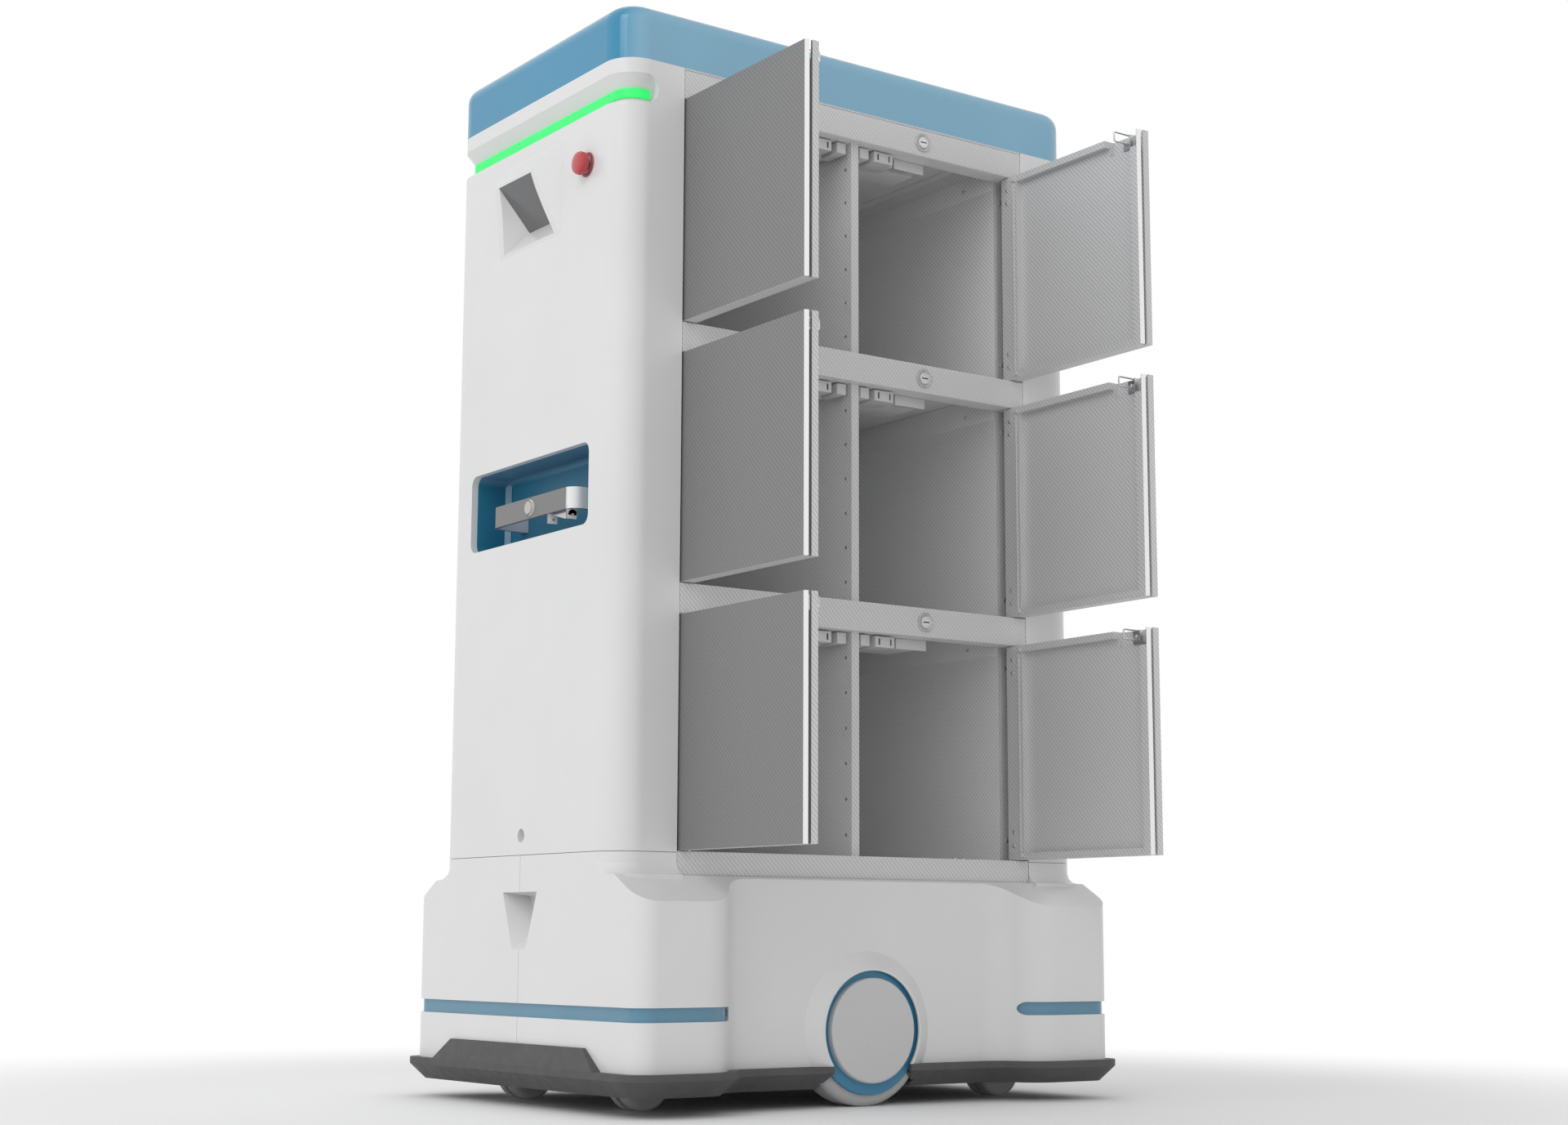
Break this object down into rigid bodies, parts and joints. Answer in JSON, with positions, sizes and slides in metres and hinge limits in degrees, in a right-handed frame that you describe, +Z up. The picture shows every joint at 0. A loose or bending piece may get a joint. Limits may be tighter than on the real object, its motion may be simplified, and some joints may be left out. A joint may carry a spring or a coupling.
{
  "type": "autonomous mobile delivery robot",
  "caption": "Self-driving delivery robot: tall locker cabinet with open hinged doors on a wheeled base with scanner slots, bumpers and a push handle.",
  "frame": {"origin": "on the floor, midway between the end covers and between the two drive wheels", "axes": "+X towards the driving front (handle, camera, stop button), +Y towards the locker doors, +Z up"},
  "size_m": [0.857, 0.8395, 1.5],
  "materials": {
    "shell_white": "satin moulded shell",
    "cap_blue": "glossy moulded cap",
    "bumper_rubber": "matte",
    "scanner_glass": "tinted infrared window",
    "black_plastic": "matte",
    "deck_paint": "matte powder coat",
    "cast_alloy": "as cast",
    "light_green": "diffusing light strip",
    "smoked_glass": "smoked",
    "estop_steel": "satin",
    "estop_red": "gloss",
    "tray_blue": "satin",
    "handle_grey": "satin anodised",
    "button_grey": "satin",
    "cabinet_sheet": "fine twill-textured sheet",
    "door_sheet": "fine twill-textured sheet",
    "latch_white": "satin",
    "lock_chrome": "polished",
    "striker_steel": "brushed",
    "tyre_grey": "matte pale grey",
    "rim_blue": "satin",
    "hubcap_white": "satin",
    "caster_body": "satin",
    "caster_tread": "matte"
  },
  "bodies": {
    "chassis": {"base_cover_left": "shell_white", "base_cover_right": "shell_white", "front_bumper": "bumper_rubber", "rear_bumper": "bumper_rubber", "scanner_windows": "scanner_glass", "scanners": "black_plastic", "chassis_plate": "deck_paint", "battery_pack": "black_plastic", "drive_controller": "cast_alloy", "drive_motors": "cast_alloy", "front_cover": "shell_white", "rear_cover": "shell_white", "top_cap": "cap_blue", "status_light": "light_green", "camera_window": "smoked_glass", "depth_camera": "black_plastic", "estop_collar": "estop_steel", "handle_tray": "tray_blue", "handle_bar": "handle_grey", "cabinet_frame": "cabinet_sheet", "cabinet_walls": "cabinet_sheet", "shelves": "cabinet_sheet", "divider": "cabinet_sheet", "door_latches": "latch_white", "lock_housings": "lock_chrome"},
    "door_left_low": {"door_left_low_panel": "door_sheet", "door_left_low_striker": "striker_steel"},
    "lock_left_low": {"lock_plug_left_low": "lock_chrome"},
    "door_left_mid": {"door_left_mid_panel": "door_sheet", "door_left_mid_striker": "striker_steel"},
    "lock_left_mid": {"lock_plug_left_mid": "lock_chrome"},
    "door_left_top": {"door_left_top_panel": "door_sheet", "door_left_top_striker": "striker_steel"},
    "lock_left_top": {"lock_plug_left_top": "lock_chrome"},
    "door_right_low": {"door_right_low_panel": "door_sheet", "door_right_low_striker": "striker_steel"},
    "lock_right_low": {"lock_plug_right_low": "lock_chrome"},
    "door_right_mid": {"door_right_mid_panel": "door_sheet", "door_right_mid_striker": "striker_steel"},
    "lock_right_mid": {"lock_plug_right_mid": "lock_chrome"},
    "door_right_top": {"door_right_top_panel": "door_sheet", "door_right_top_striker": "striker_steel"},
    "lock_right_top": {"lock_plug_right_top": "lock_chrome"},
    "left_drive_wheel": {"left_wheel_tyre": "tyre_grey", "left_wheel_rim": "rim_blue", "left_wheel_hubcap": "hubcap_white"},
    "right_drive_wheel": {"right_wheel_tyre": "tyre_grey", "right_wheel_rim": "rim_blue", "right_wheel_hubcap": "hubcap_white"},
    "front_left_caster": {"front_left_caster_fork": "caster_body"},
    "front_left_caster_roller": {"front_left_caster_wheel": "caster_tread"},
    "front_right_caster": {"front_right_caster_fork": "caster_body"},
    "front_right_caster_roller": {"front_right_caster_wheel": "caster_tread"},
    "rear_left_caster": {"rear_left_caster_fork": "caster_body"},
    "rear_left_caster_roller": {"rear_left_caster_wheel": "caster_tread"},
    "rear_right_caster": {"rear_right_caster_fork": "caster_body"},
    "rear_right_caster_roller": {"rear_right_caster_wheel": "caster_tread"},
    "estop": {"estop_button": "estop_red"},
    "handle_push_button": {"handle_button": "button_grey"},
    "handle_release": {"handle_lever": "button_grey"}
  },
  "joints": [
    {"name": "door_left_low_hinge", "type": "hinge", "parent": "chassis", "child": "door_left_low", "pos_m": [0.3015, 0.2255, 0.498], "axis": [0, 0, 1], "range_deg": [0, 90]},
    {"name": "lock_left_low_turn", "type": "hinge", "parent": "chassis", "child": "lock_left_low", "pos_m": [0.116, 0.229, 0.677], "axis": [0, 1, 0], "range_deg": [0, 90]},
    {"name": "door_left_mid_hinge", "type": "hinge", "parent": "chassis", "child": "door_left_mid", "pos_m": [0.3015, 0.2255, 0.857], "axis": [0, 0, 1], "range_deg": [0, 90]},
    {"name": "lock_left_mid_turn", "type": "hinge", "parent": "chassis", "child": "lock_left_mid", "pos_m": [0.116, 0.229, 1.037], "axis": [0, 1, 0], "range_deg": [0, 90]},
    {"name": "door_left_top_hinge", "type": "hinge", "parent": "chassis", "child": "door_left_top", "pos_m": [0.3015, 0.2255, 1.217], "axis": [0, 0, 1], "range_deg": [0, 90]},
    {"name": "lock_left_top_turn", "type": "hinge", "parent": "chassis", "child": "lock_left_top", "pos_m": [0.116, 0.229, 1.3965], "axis": [0, 1, 0], "range_deg": [0, 90]},
    {"name": "door_right_low_hinge", "type": "hinge", "parent": "chassis", "child": "door_right_low", "pos_m": [-0.3015, 0.2255, 0.498], "axis": [0, 0, 1], "range_deg": [-90, 0]},
    {"name": "lock_right_low_turn", "type": "hinge", "parent": "chassis", "child": "lock_right_low", "pos_m": [-0.116, 0.229, 0.677], "axis": [0, 1, 0], "range_deg": [-90, 0]},
    {"name": "door_right_mid_hinge", "type": "hinge", "parent": "chassis", "child": "door_right_mid", "pos_m": [-0.3015, 0.2255, 0.857], "axis": [0, 0, 1], "range_deg": [-90, 0]},
    {"name": "lock_right_mid_turn", "type": "hinge", "parent": "chassis", "child": "lock_right_mid", "pos_m": [-0.116, 0.229, 1.037], "axis": [0, 1, 0], "range_deg": [-90, 0]},
    {"name": "door_right_top_hinge", "type": "hinge", "parent": "chassis", "child": "door_right_top", "pos_m": [-0.3015, 0.2255, 1.217], "axis": [0, 0, 1], "range_deg": [-90, 0]},
    {"name": "lock_right_top_turn", "type": "hinge", "parent": "chassis", "child": "lock_right_top", "pos_m": [-0.116, 0.229, 1.3965], "axis": [0, 1, 0], "range_deg": [-90, 0]},
    {"name": "left_drive_wheel_spin", "type": "hinge", "parent": "chassis", "child": "left_drive_wheel", "pos_m": [0, 0.227, 0.1026], "axis": [0, 1, 0], "continuous": true},
    {"name": "right_drive_wheel_spin", "type": "hinge", "parent": "chassis", "child": "right_drive_wheel", "pos_m": [0, -0.227, 0.1026], "axis": [0, 1, 0], "continuous": true},
    {"name": "front_left_caster_swivel", "type": "hinge", "parent": "chassis", "child": "front_left_caster", "pos_m": [0.285, 0.15, 0.09], "axis": [0, 0, 1], "continuous": true},
    {"name": "front_left_caster_roller_spin", "type": "hinge", "parent": "front_left_caster", "child": "front_left_caster_roller", "pos_m": [0.307, 0.15, 0.0375], "axis": [0, 1, 0], "continuous": true},
    {"name": "front_right_caster_swivel", "type": "hinge", "parent": "chassis", "child": "front_right_caster", "pos_m": [0.285, -0.15, 0.09], "axis": [0, 0, 1], "continuous": true},
    {"name": "front_right_caster_roller_spin", "type": "hinge", "parent": "front_right_caster", "child": "front_right_caster_roller", "pos_m": [0.307, -0.15, 0.0375], "axis": [0, 1, 0], "continuous": true},
    {"name": "rear_left_caster_swivel", "type": "hinge", "parent": "chassis", "child": "rear_left_caster", "pos_m": [-0.285, 0.15, 0.09], "axis": [0, 0, 1], "continuous": true},
    {"name": "rear_left_caster_roller_spin", "type": "hinge", "parent": "rear_left_caster", "child": "rear_left_caster_roller", "pos_m": [-0.307, 0.15, 0.0375], "axis": [0, 1, 0], "continuous": true},
    {"name": "rear_right_caster_swivel", "type": "hinge", "parent": "chassis", "child": "rear_right_caster", "pos_m": [-0.285, -0.15, 0.09], "axis": [0, 0, 1], "continuous": true},
    {"name": "rear_right_caster_roller_spin", "type": "hinge", "parent": "rear_right_caster", "child": "rear_right_caster_roller", "pos_m": [-0.307, -0.15, 0.0375], "axis": [0, 1, 0], "continuous": true},
    {"name": "estop_press", "type": "slide", "parent": "chassis", "child": "estop", "axis": [-1, 0, 0], "range_m": [0, 0.004]},
    {"name": "handle_button_press", "type": "slide", "parent": "chassis", "child": "handle_push_button", "axis": [-1, 0, 0], "range_m": [0, 0.002], "stiffness_N_per_m": 800, "springref_m": -0.002},
    {"name": "handle_lever_squeeze", "type": "hinge", "parent": "chassis", "child": "handle_release", "pos_m": [0.394, 0.074, 0.8], "axis": [0, 1, 0], "range_deg": [0, 18], "stiffness_Nm_per_rad": 0.4, "springref_deg": -8.59}
  ]
}
